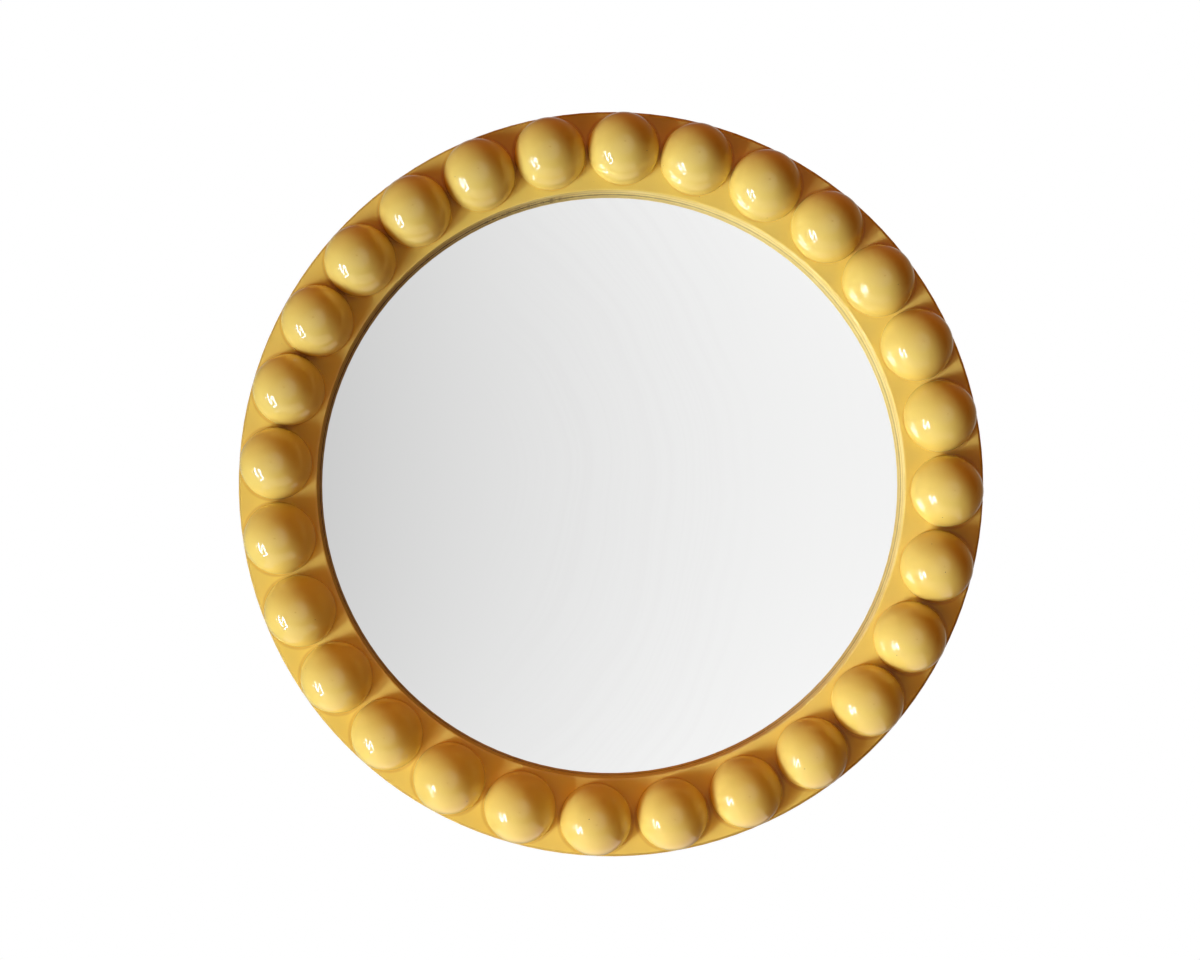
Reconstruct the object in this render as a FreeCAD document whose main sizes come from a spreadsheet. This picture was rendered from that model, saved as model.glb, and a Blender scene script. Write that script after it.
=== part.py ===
import FreeCAD, Part
import math
import os
import Sketcher

# A round wall mirror: a lacquered wooden ring that carries half balls on its face, a mirror glass and
# a backing board in a rabbet behind it, turn buttons that keep the board in, and two ring hangers.
# X is to the right and Z up as seen from the front, and Y points to the wall. The origin is the
# ring's centre in the plane of the wall.

# Driving sizes, in millimetres and degrees
RING_SIZES = {
    "outer_diameter": 620,
    "outer_round": 2.5,
    "inner_round": 2,
    "back_chamfer": 1,
    "inner_land": 3,
    "wall_depth": 16.5,
    "bore_clearance": 0.1,
    "bore_allowance": 1.5,
}
BEAD_SIZES = {
    "bead_count": 28,
    "bead_gap": 1.2,
    "bead_margin": 1,
    "first_bead_angle": 2.37,
    "drift_angle": 1.18,
    "drift_phase": 10.2,
}
BEAD_SCREW_SIZES = {
    "bead_screw_diameter": 4,
    "bead_hole_clearance": 0.3,
    "bead_screw_head": 8,
    "bead_screw_grip": 15.9,
    "bead_screw_sink": 0.4,
    "bead_screw_point": 4,
    "sink_angle": 90,
}
GLASS_SIZES = {
    "glass_thickness": 4,
    "glass_seam": 0.5,
    "lip_overlap": 6,
    "glass_clearance": 1,
    "board_thickness": 4,
}
BUTTON_SIZES = {
    "button_count": 6,
    "button_first_angle": 30,
    "button_edge": 6,
    "button_gap": 0.3,
    "button_thickness": 1.2,
    "button_radius": 5.5,
    "button_tip_radius": 4,
    "button_reach": 19,
    "button_screw_diameter": 3,
    "button_screw_head": 6,
    "button_head_height": 2,
    "button_screw_grip": 10,
}
HANGER_SIZES = {
    "hanger_pitches": 3.35,
    "hanger_inset": 23,
    "strap_width": 14,
    "strap_length": 44,
    "strap_thickness": 1,
    "strap_curl": 60,
    "wire_diameter": 2.8,
    "wire_clearance": 0.1,
    "wire_side_clearance": 0.6,
    "wire_screw_clearance": 2.6,
    "hanger_screw_diameter": 3.5,
    "hanger_screw_head": 7,
    "hanger_head_height": 2.2,
    "hanger_screw_grip": 14,
    "hanger_screw_edge": 6.5,
    "hanger_screw_spacing": 11,
}
BUMPER_SIZES = {
    "bumper_diameter": 20,
    "bumper_thickness": 6,
    "bumper_taper": 1,
    "bumper_round": 1,
    "bumper_upper_pitches": 1.48,
    "bumper_lower_pitches": 10.44,
}
DRIVING_GROUPS = [
    RING_SIZES,
    BEAD_SIZES,
    BEAD_SCREW_SIZES,
    GLASS_SIZES,
    BUTTON_SIZES,
    HANGER_SIZES,
    BUMPER_SIZES,
]

# Sizes and places that follow from the driving ones, lowest layer first
WORKED_SIZES = {
    "outer_radius": "Sizes.outer_diameter / 2",
    "bead_pitch": "360 / Sizes.bead_count",
    "tight_half_pitch": "bead_pitch / 2 * (1 - Sizes.drift_angle * pi / 180)",
    "bead_circle": "(outer_radius - Sizes.bead_margin + Sizes.bead_gap / 2) / (1 + sin(tight_half_pitch))",
    "bead_radius": "bead_circle * sin(tight_half_pitch) - Sizes.bead_gap / 2",
    "face_inner_radius": "bead_circle - bead_radius - Sizes.inner_land",
    "sight_radius": "face_inner_radius - Sizes.inner_round",
    "glass_radius": "sight_radius + Sizes.lip_overlap",
    "rabbet_radius": "glass_radius + Sizes.glass_clearance",
    "ring_thickness": "Sizes.wall_depth + Sizes.glass_thickness + Sizes.board_thickness",
    "ring_back": "-Sizes.bumper_thickness",
    "ring_front": "ring_back - ring_thickness",
    "board_front": "ring_back - Sizes.board_thickness",
    "glass_front": "board_front - Sizes.glass_thickness",
    "bead_screw_hole": "Sizes.bead_screw_diameter + 2 * Sizes.bead_hole_clearance",
    "bead_screw_length": "ring_thickness - Sizes.bead_screw_sink + Sizes.bead_screw_grip",
    "bead_sink_diameter": "Sizes.bead_screw_head + 2 * (Sizes.bead_screw_sink + Sizes.bore_clearance)",
    "button_circle": "rabbet_radius + Sizes.button_edge",
    "button_back": "Sizes.button_gap + Sizes.button_thickness",
    "knuckle_inner": "Sizes.wire_diameter / 2 + Sizes.wire_clearance",
    "knuckle_outer": "knuckle_inner + Sizes.strap_thickness",
    "wire_half_width": "(Sizes.strap_width + Sizes.wire_diameter) / 2 + Sizes.wire_side_clearance",
    "wire_corner": "Sizes.wire_diameter / 2 + Sizes.wire_side_clearance",
    "hanger_angle": "Sizes.hanger_pitches * bead_pitch",
    "hanger_across": "(outer_radius - Sizes.hanger_inset) * sin(hanger_angle)",
    "hanger_up": "(outer_radius - Sizes.hanger_inset) * cos(hanger_angle)",
    "hanger_depth": "ring_back + knuckle_outer",
    "low_screw_drop": "Sizes.strap_length - Sizes.hanger_screw_edge",
    "high_screw_drop": "low_screw_drop - Sizes.hanger_screw_spacing",
    "wire_reach": "high_screw_drop - Sizes.hanger_screw_head / 2 - Sizes.wire_screw_clearance",
    "wire_leg": "wire_reach - Sizes.wire_diameter / 2 - wire_half_width",
}

doc = FreeCAD.newDocument("round_mirror")
nodes = {}


def fill_sheet(name, cells):
    """Makes a sheet with one named cell for each entry, and computes it."""
    sheet = doc.addObject("Spreadsheet::Sheet", name)
    for row, (alias, content) in enumerate(cells.items(), start=1):
        sheet.set(f"A{row}", alias)
        sheet.set(f"B{row}", content)
        sheet.setAlias(f"B{row}", alias)
    return sheet


driving = {alias: str(size) for group in DRIVING_GROUPS for alias, size in group.items()}
sizes = fill_sheet("Sizes", driving)
doc.recompute()
fill_sheet("Worked", {alias: "=" + formula for alias, formula in WORKED_SIZES.items()})
doc.recompute()


def value(expression):
    """The number that an expression on the sheets gives."""
    found = sizes.evalExpression(expression)
    return float(getattr(found, "Value", found))


def new_body(label):
    """A body that becomes the node with this name."""
    body = doc.addObject("PartDesign::Body", label)
    body.Label = label
    nodes[label] = body
    return body


def place(item, across="0", back="0", up="0", turn="0"):
    """Puts an item at a place and turns it about the Y axis, all bound to the sheets."""
    spot = f"create(<<vector>>; {across}; {back}; {up})"
    spin = f"create(<<rotation>>; create(<<vector>>; 0; 1; 0); {turn})"
    item.setExpression(".Placement", f"create(<<placement>>; {spot}; {spin})")


def sketch_on(body, name, role, lift=None):
    """A sketch on one of the body's own planes, lifted along the plane's normal."""
    sketch = body.newObject("Sketcher::SketchObject", name)
    plane = next(item for item in body.Origin.OriginFeatures if item.Role == role)
    sketch.AttachmentSupport = [(plane, "")]
    sketch.MapMode = "FlatFace"
    if lift:
        sketch.setExpression(".AttachmentOffset.Base.z", lift)
    return sketch


def bind(sketch, constraint, expression):
    """Adds a constraint whose size follows an expression."""
    index = sketch.addConstraint(constraint)
    sketch.setExpression(f"Constraints[{index}]", expression)


def bind_point(sketch, item, end, corner):
    """Ties one point of the sketch to a pair of expressions."""
    bind(sketch, Sketcher.Constraint("DistanceX", item, end, value(corner[0])), corner[0])
    bind(sketch, Sketcher.Constraint("DistanceY", item, end, value(corner[1])), corner[1])


def arc_between(start, finish, radius, side):
    """The short arc from one point to another that turns left or right on its way."""
    chord = finish - start
    reach = math.sqrt(max(radius ** 2 - (chord.Length / 2) ** 2, 0))
    leftward = FreeCAD.Vector(-chord.y, chord.x, 0).normalize()
    inward = leftward if side == "left" else leftward.negative()
    centre = (start + finish) / 2 + inward * reach
    middle = centre - inward * radius
    return Part.Arc(start, middle, finish)


def outline(sketch, corners):
    """Draws a closed outline of lines and arcs through corners written as expressions. A corner with
    a radius and a side starts an arc to the next one."""
    points = [FreeCAD.Vector(value(corner[0]), value(corner[1]), 0) for corner in corners]
    spans = []
    for corner, start, finish in zip(corners, points, points[1:] + points[:1]):
        if len(corner) == 2:
            item = sketch.addGeometry(Part.LineSegment(start, finish))
            spans.append((item, 1, 2))
        else:
            radius, side = corner[2:]
            item = sketch.addGeometry(arc_between(start, finish, value(radius), side))
            spans.append((item, 1, 2) if side == "left" else (item, 2, 1))
            bind(sketch, Sketcher.Constraint("Radius", item, value(radius)), radius)
        bind_point(sketch, item, spans[-1][1], corner)
    for (item, _, end), (following, begin, _) in zip(spans, spans[1:] + spans[:1]):
        sketch.addConstraint(Sketcher.Constraint("Coincident", item, end, following, begin))


def circles(sketch, centres, radius):
    """Draws circles of one radius round centres written as expressions."""
    for centre in centres:
        spot = FreeCAD.Vector(value(centre[0]), value(centre[1]), 0)
        axis = FreeCAD.Vector(0, 0, 1)
        item = sketch.addGeometry(Part.Circle(spot, axis, value(radius)))
        bind_point(sketch, item, 3, centre)
        bind(sketch, Sketcher.Constraint("Radius", item, value(radius)), radius)


def turn_profile(body, corners):
    """Revolves an outline, drawn as distance from the axis and depth, about the body's Y axis."""
    sketch = sketch_on(body, "profile", "XY_Plane")
    outline(sketch, corners)
    turned = body.newObject("PartDesign::Revolution", "turned")
    turned.Profile = sketch
    turned.ReferenceAxis = (sketch, ["V_Axis"])
    turned.Angle = 360
    return turned


def drill(body, name, centres, radius, depth):
    """Blind holes into the ring's back, at centres across and up."""
    sketch = sketch_on(body, name + "_centres", "XZ_Plane", "-Worked.ring_back")
    circles(sketch, centres, radius)
    pocket = body.newObject("PartDesign::Pocket", name)
    pocket.Profile = sketch
    pocket.Reversed = True
    pocket.setExpression("Length", depth)
    return pocket


def polar(radius, angle):
    """Across and up for a point at a clock angle from the top."""
    return f"{radius} * sin({angle})", f"{radius} * cos({angle})"


def bead_angle(number):
    """The clock angle of one half ball. Hand spacing lets the row drift by a degree on its way round."""
    even = f"(Sizes.first_bead_angle + {number} * Worked.bead_pitch)"
    return f"({even} - Sizes.drift_angle * sin({even} + Sizes.drift_phase))"


def frame_ring():
    """The turned ring: flat face, rounded edges, a rabbet behind the inner lip, and the screw holes."""
    body = new_body("frame_ring")
    outer = "Worked.outer_radius"
    turn_profile(body, [
        (f"{outer} - Sizes.back_chamfer", "Worked.ring_back"),
        (outer, "Worked.ring_back - Sizes.back_chamfer"),
        (outer, "Worked.ring_front + Sizes.outer_round", "Sizes.outer_round", "right"),
        (f"{outer} - Sizes.outer_round", "Worked.ring_front"),
        ("Worked.face_inner_radius", "Worked.ring_front", "Sizes.inner_round", "right"),
        ("Worked.sight_radius", "Worked.ring_front + Sizes.inner_round"),
        ("Worked.sight_radius", "Worked.glass_front"),
        ("Worked.rabbet_radius", "Worked.glass_front"),
        ("Worked.rabbet_radius", "Worked.ring_back"),
    ])
    screw_holes_for_beads(body)
    screw_holes_for_buttons(body)
    screw_holes_for_hangers(body)
    return body


def screw_holes_for_beads(body):
    """Countersunk holes through the ring, one behind each half ball."""
    sketch = sketch_on(body, "bead_hole_centres", "XZ_Plane", "-Worked.ring_back")
    centres = [polar("Worked.bead_circle", bead_angle(number)) for number in range(int(sizes.bead_count))]
    circles(sketch, centres, "Worked.bead_screw_hole / 2")
    doc.recompute()
    hole = body.newObject("PartDesign::Hole", "bead_holes")
    hole.Profile = sketch
    hole.Reversed = True
    hole.DepthType = "ThroughAll"
    hole.HoleCutType = "Countersink"
    hole.HoleCutCustomValues = True
    hole.setExpression("Diameter", "Worked.bead_screw_hole")
    hole.setExpression("HoleCutDiameter", "Worked.bead_sink_diameter")
    hole.setExpression("HoleCutCountersinkAngle", "Sizes.sink_angle")
    body.Tip = hole


def screw_holes_for_buttons(body):
    """Blind holes for the turn buttons' screws, spread evenly round the rabbet."""
    centres = [polar("Worked.button_circle", "Sizes.button_first_angle")]
    radius = "Sizes.button_screw_diameter / 2 + Sizes.bore_clearance"
    pocket = drill(body, "button_hole", centres, radius, "Sizes.button_screw_grip + Sizes.bore_allowance")
    pattern = body.newObject("PartDesign::PolarPattern", "button_holes")
    pattern.Originals = [pocket]
    pattern.Axis = (pocket.Profile[0], ["N_Axis"])
    pattern.Angle = 360
    pattern.setExpression("Occurrences", "Sizes.button_count")
    body.Tip = pattern


def screw_holes_for_hangers(body):
    """Blind holes for the screws of the two strap hangers."""
    centres = [("Worked.hanger_across", f"Worked.hanger_up - Worked.{drop}")
               for drop in ("high_screw_drop", "low_screw_drop")]
    radius = "Sizes.hanger_screw_diameter / 2 + Sizes.bore_clearance"
    pocket = drill(body, "hanger_hole", centres, radius, "Sizes.hanger_screw_grip + Sizes.bore_allowance")
    mirrored = body.newObject("PartDesign::Mirrored", "hanger_holes")
    mirrored.Originals = [pocket]
    mirrored.MirrorPlane = (pocket.Profile[0], ["V_Axis"])
    body.Tip = mirrored


def half_ball(number):
    """One turned half ball with a bore for its screw, flat side on the ring's face."""
    body = new_body(f"half_ball_{number + 1:02d}")
    bore = "Sizes.bead_screw_diameter / 2 + Sizes.bore_clearance"
    depth = "-(Sizes.bead_screw_grip + Sizes.bore_allowance)"
    turn_profile(body, [
        (bore, "0"),
        ("Worked.bead_radius", "0", "Worked.bead_radius", "right"),
        ("0", "-Worked.bead_radius"),
        ("0", depth),
        (bore, depth),
    ])
    across, up = polar("Worked.bead_circle", bead_angle(number))
    place(body, across, "Worked.ring_front", up)
    return body


def countersunk_screw():
    """The screw behind each half ball, head at the origin and point forwards."""
    screw = doc.addObject("PartDesign::Body", "countersunk_screw")
    head = "Sizes.bead_screw_head / 2"
    shank = "Sizes.bead_screw_diameter / 2"
    neck = f"-({head} - {shank}) / tan(Sizes.sink_angle / 2)"
    turn_profile(screw, [
        ("0", "0"),
        (head, "0"),
        (shank, neck),
        (shank, "-(Worked.bead_screw_length - Sizes.bead_screw_point)"),
        ("0", "-Worked.bead_screw_length"),
    ])
    return screw


def pan_head_screw(name, diameter, head, head_height, length):
    """A screw with a rounded head, whose seat is at the origin and whose point is forwards."""
    screw = doc.addObject("PartDesign::Body", name)
    shank = f"{diameter} / 2"
    rim = f"{head} / 2"
    crown = f"({head_height} / 2)"
    turn_profile(screw, [
        ("0", head_height),
        ("0", f"-({length})"),
        (shank, f"-({length} - {diameter})"),
        (shank, "0"),
        (rim, "0"),
        (rim, f"{head_height} - {crown}", crown, "left"),
        (f"{rim} - {crown}", head_height),
    ])
    return screw


def screw_group(label, screw, spots):
    """One node that holds a copy of the screw at each spot."""
    doc.recompute()
    group = doc.addObject("Part::Feature", label)
    group.Label = label
    copies = []
    for spot in spots:
        copy = screw.Shape.copy()
        copy.Placement = FreeCAD.Placement(FreeCAD.Vector(*map(value, spot)), FreeCAD.Rotation())
        copies.append(copy)
    group.Shape = Part.makeCompound(copies)
    nodes[label] = group
    return group


def bead_screws():
    """The screws that hold the half balls, sunk a little below the ring's back."""
    spots = []
    for number in range(int(sizes.bead_count)):
        across, up = polar("Worked.bead_circle", bead_angle(number))
        spots.append((across, "Worked.ring_back - Sizes.bead_screw_sink", up))
    return screw_group("bead_screws", countersunk_screw(), spots)


def mirror_glass():
    """The glass disc, with its cut edges seamed."""
    body = new_body("mirror_glass")
    turn_profile(body, [
        ("0", "0"),
        ("0", "-Sizes.glass_thickness"),
        ("Worked.glass_radius - Sizes.glass_seam", "-Sizes.glass_thickness"),
        ("Worked.glass_radius", "Sizes.glass_seam - Sizes.glass_thickness"),
        ("Worked.glass_radius", "-Sizes.glass_seam"),
        ("Worked.glass_radius - Sizes.glass_seam", "0"),
    ])
    place(body, back="Worked.board_front")
    return body


def backing_board():
    """The hardboard disc behind the glass, flush with the ring's back."""
    body = new_body("backing_board")
    sketch = sketch_on(body, "disc", "XZ_Plane")
    circles(sketch, [("0", "0")], "Worked.glass_radius")
    pad = body.newObject("PartDesign::Pad", "board")
    pad.Profile = sketch
    pad.setExpression("Length", "Sizes.board_thickness")
    place(body, back="Worked.ring_back")
    return body


def button_angle(number):
    """The clock angle of one turn button."""
    return f"(Sizes.button_first_angle + {number} * 360 / Sizes.button_count)"


def turn_button(number):
    """A tapered steel plate that turns on its screw and reaches inwards over the backing board."""
    body = new_body(f"turn_button_{number + 1}")
    wide = "Sizes.button_radius"
    tip = "Sizes.button_tip_radius"
    tip_centre = f"({tip} - Sizes.button_reach)"
    sketch = sketch_on(body, "plate_outline", "XZ_Plane", "-Worked.button_back")
    outline(sketch, [
        ("0", wide, wide, "left"),
        (f"-{wide}", "0"),
        (f"-{tip}", tip_centre, tip, "left"),
        ("0", "-Sizes.button_reach", tip, "left"),
        (tip, tip_centre),
        (wide, "0", wide, "left"),
    ])
    circles(sketch, [("0", "0")], "Sizes.button_screw_diameter / 2 + Sizes.bore_clearance")
    pad = body.newObject("PartDesign::Pad", "plate")
    pad.Profile = sketch
    pad.setExpression("Length", "Sizes.button_thickness")
    across, up = polar("Worked.button_circle", button_angle(number))
    place(body, across, "Worked.ring_back", up, button_angle(number))
    return body


def turn_button_screws():
    """The screws that the turn buttons turn on."""
    clearance = "Sizes.bore_clearance"
    length = f"Sizes.button_screw_grip + Worked.button_back + {clearance}"
    screw = pan_head_screw("button_screw", "Sizes.button_screw_diameter", "Sizes.button_screw_head",
                           "Sizes.button_head_height", length)
    spots = []
    for number in range(int(sizes.button_count)):
        across, up = polar("Worked.button_circle", button_angle(number))
        spots.append((across, f"Worked.ring_back + Worked.button_back + {clearance}", up))
    return screw_group("turn_button_screws", screw, spots)


def hanger_strap(name, side):
    """A steel strap that lies on the ring's back and curls round the bar of its ring."""
    body = new_body(f"hanger_strap_{name}")
    inner = "Worked.knuckle_inner"
    outer = "Worked.knuckle_outer"
    end_back = "cos(Sizes.strap_curl)"
    end_down = "-sin(Sizes.strap_curl)"
    sketch = sketch_on(body, "strap_profile", "YZ_Plane")
    outline(sketch, [
        (f"-{outer}", "-Sizes.strap_length"),
        (f"-{outer}", "0", outer, "right"),
        ("0", outer, outer, "right"),
        (outer, "0", outer, "right"),
        (f"{outer} * {end_back}", f"{outer} * {end_down}"),
        (f"{inner} * {end_back}", f"{inner} * {end_down}", inner, "left"),
        (inner, "0", inner, "left"),
        ("0", inner, inner, "left"),
        (f"-{inner}", "0"),
        (f"-{inner}", "-Sizes.strap_length"),
    ])
    pad = body.newObject("PartDesign::Pad", "strap")
    pad.Profile = sketch
    pad.Midplane = True
    pad.setExpression("Length", "Sizes.strap_width")
    round_strap_end(body)
    strap_holes(body)
    place(body, f"{side} * Worked.hanger_across", "Worked.hanger_depth", "Worked.hanger_up")
    return body


def round_strap_end(body):
    """Cuts the corners off the strap's free end, down to a half round."""
    half = "Sizes.strap_width / 2"
    low = "-Sizes.strap_length"
    for name, sign, turn in (("left_corner", "-1", "left"), ("right_corner", "1", "right")):
        sketch = sketch_on(body, name + "_outline", "XZ_Plane")
        outline(sketch, [
            (f"{sign} * {half}", f"{low} + {half}", half, turn),
            ("0", low),
            ("0", f"{low} - {half}"),
            (f"{sign} * {half} * 2", f"{low} - {half}"),
            (f"{sign} * {half} * 2", f"{low} + {half}"),
        ])
        corner = body.newObject("PartDesign::Pocket", name)
        corner.Profile = sketch
        corner.Type = "ThroughAll"
        corner.Midplane = True


def strap_holes(body):
    """The two screw holes near the strap's free end."""
    sketch = sketch_on(body, "hole_centres", "XZ_Plane")
    centres = [("0", f"-Worked.{drop}") for drop in ("high_screw_drop", "low_screw_drop")]
    circles(sketch, centres, "Sizes.hanger_screw_diameter / 2 + Sizes.bore_clearance")
    holes = body.newObject("PartDesign::Pocket", "holes")
    holes.Profile = sketch
    holes.Type = "ThroughAll"
    holes.Midplane = True


def hanger_ring(name, side):
    """A closed D of round wire that hangs down from its straight bar, and ends above the upper screw."""
    body = new_body(f"hanger_ring_{name}")
    half = "Worked.wire_half_width"
    corner = "Worked.wire_corner"
    leg = "-Worked.wire_leg"
    path = sketch_on(body, "wire_path", "XZ_Plane")
    outline(path, [
        ("0", "0"),
        (f"{half} - {corner}", "0", corner, "right"),
        (half, f"-{corner}"),
        (half, leg, half, "right"),
        ("0", f"{leg} - {half}", half, "right"),
        (f"-{half}", leg),
        (f"-{half}", f"-{corner}", corner, "right"),
        (f"{corner} - {half}", "0"),
    ])
    section = sketch_on(body, "wire_section", "YZ_Plane")
    circles(section, [("0", "0")], "Sizes.wire_diameter / 2")
    pipe = body.newObject("PartDesign::AdditivePipe", "wire")
    pipe.Profile = section
    pipe.Spine = path
    place(body, f"{side} * Worked.hanger_across", "Worked.hanger_depth", "Worked.hanger_up")
    return body


def hanger_screws():
    """The screws that hold the two straps."""
    clearance = "Sizes.bore_clearance"
    length = f"Sizes.hanger_screw_grip + Sizes.strap_thickness + {clearance}"
    screw = pan_head_screw("hanger_screw", "Sizes.hanger_screw_diameter", "Sizes.hanger_screw_head",
                           "Sizes.hanger_head_height", length)
    depth = f"Worked.ring_back + Sizes.strap_thickness + {clearance}"
    spots = []
    for side in (-1, 1):
        for drop in ("high_screw_drop", "low_screw_drop"):
            spots.append((f"{side} * Worked.hanger_across", depth, f"Worked.hanger_up - Worked.{drop}"))
    return screw_group("hanger_screws", screw, spots)


def bumper(number, side, pitches):
    """A rubber pad stuck to the ring's back, whose flat end meets the wall."""
    body = new_body(f"bumper_{number}")
    foot = "Sizes.bumper_diameter / 2"
    top = f"({foot} - Sizes.bumper_taper)"
    rise = "Sizes.bumper_thickness"
    turn_profile(body, [
        ("0", "0"),
        (foot, "0"),
        (top, f"{rise} - Sizes.bumper_round", "Sizes.bumper_round", "left"),
        (f"{top} - Sizes.bumper_round", rise),
        ("0", rise),
    ])
    across, up = polar("Worked.bead_circle", f"(Sizes.{pitches} * Worked.bead_pitch)")
    place(body, f"{side} * {across}", "Worked.ring_back", up)
    return body


def build():
    """Makes every piece of the mirror."""
    frame_ring()
    for number in range(int(sizes.bead_count)):
        half_ball(number)
    bead_screws()
    mirror_glass()
    backing_board()
    for number in range(int(sizes.button_count)):
        turn_button(number)
    turn_button_screws()
    for name, side in (("left", -1), ("right", 1)):
        hanger_strap(name, side)
        hanger_ring(name, side)
    hanger_screws()
    bumper(1, -1, "bumper_upper_pitches")
    bumper(2, 1, "bumper_upper_pitches")
    bumper(3, -1, "bumper_lower_pitches")
    bumper(4, 1, "bumper_lower_pitches")
    doc.recompute()


def check_and_write():
    """Stops on a failed feature or a bad shape, then writes one STEP file for each node."""
    for item in doc.Objects:
        if "Invalid" in item.State or "Error" in item.State:
            raise RuntimeError(f"{item.Label} failed: {item.State}")
    for label, item in nodes.items():
        if item.Shape.isNull() or not item.Shape.isValid():
            raise RuntimeError(f"{label} has no valid shape")
    os.makedirs("parts", exist_ok=True)
    for label, item in nodes.items():
        item.Shape.exportStep(f"parts/{label}.step")


build()
check_and_write()
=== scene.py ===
import math
from functools import reduce
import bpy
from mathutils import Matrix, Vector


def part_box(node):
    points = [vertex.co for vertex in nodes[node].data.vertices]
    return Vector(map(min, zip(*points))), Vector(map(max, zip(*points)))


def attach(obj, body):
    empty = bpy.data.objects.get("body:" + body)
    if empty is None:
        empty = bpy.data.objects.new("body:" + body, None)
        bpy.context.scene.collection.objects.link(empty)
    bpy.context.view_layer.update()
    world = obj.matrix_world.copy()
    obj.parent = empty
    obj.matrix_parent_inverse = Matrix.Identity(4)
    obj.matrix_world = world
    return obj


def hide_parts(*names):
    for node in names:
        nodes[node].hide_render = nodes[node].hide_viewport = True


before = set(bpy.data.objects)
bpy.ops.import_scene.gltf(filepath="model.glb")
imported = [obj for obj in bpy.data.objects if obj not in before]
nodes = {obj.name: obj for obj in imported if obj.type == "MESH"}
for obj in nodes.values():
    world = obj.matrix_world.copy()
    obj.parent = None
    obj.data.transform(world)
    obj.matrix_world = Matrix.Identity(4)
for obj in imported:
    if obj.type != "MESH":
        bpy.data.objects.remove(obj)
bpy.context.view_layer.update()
from types import SimpleNamespace

import bpy
from mathutils import Matrix, Vector

# Round wall mirror: a yellow lacquered ring with half balls round a recessed mirror glass.
# Metres throughout. X is to the right and Z up as seen from the front, and Y points to the wall.

scene = bpy.context.scene

BALLS = [f"half_ball_{number:02d}" for number in range(1, 29)]
TURN_BUTTONS = [f"turn_button_{number}" for number in range(1, 7)]
BUMPERS = [f"bumper_{number}" for number in range(1, 5)]
STRAPS = ["hanger_strap_left", "hanger_strap_right"]
SWING_RINGS = ["hanger_ring_left", "hanger_ring_right"]

ring_low, ring_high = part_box("frame_ring")
glass_low, glass_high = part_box("mirror_glass")
ball_low, ball_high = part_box(BALLS[0])
RING_FRONT = ring_low.y
RING_BACK = ring_high.y
RING_RADIUS = ring_high.x
GLASS_FRONT = glass_low.y
GLASS_BACK = glass_high.y
LIP_OVERLAP = 0.006
SIGHT_RADIUS = glass_high.x - LIP_OVERLAP
BALL_RADIUS = (ball_high.x - ball_low.x) / 2
BALL_CIRCLE = math.hypot((ball_high.x + ball_low.x) / 2, (ball_high.z + ball_low.z) / 2)

WHITE = (1.0, 1.0, 1.0)


# Node helpers

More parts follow.
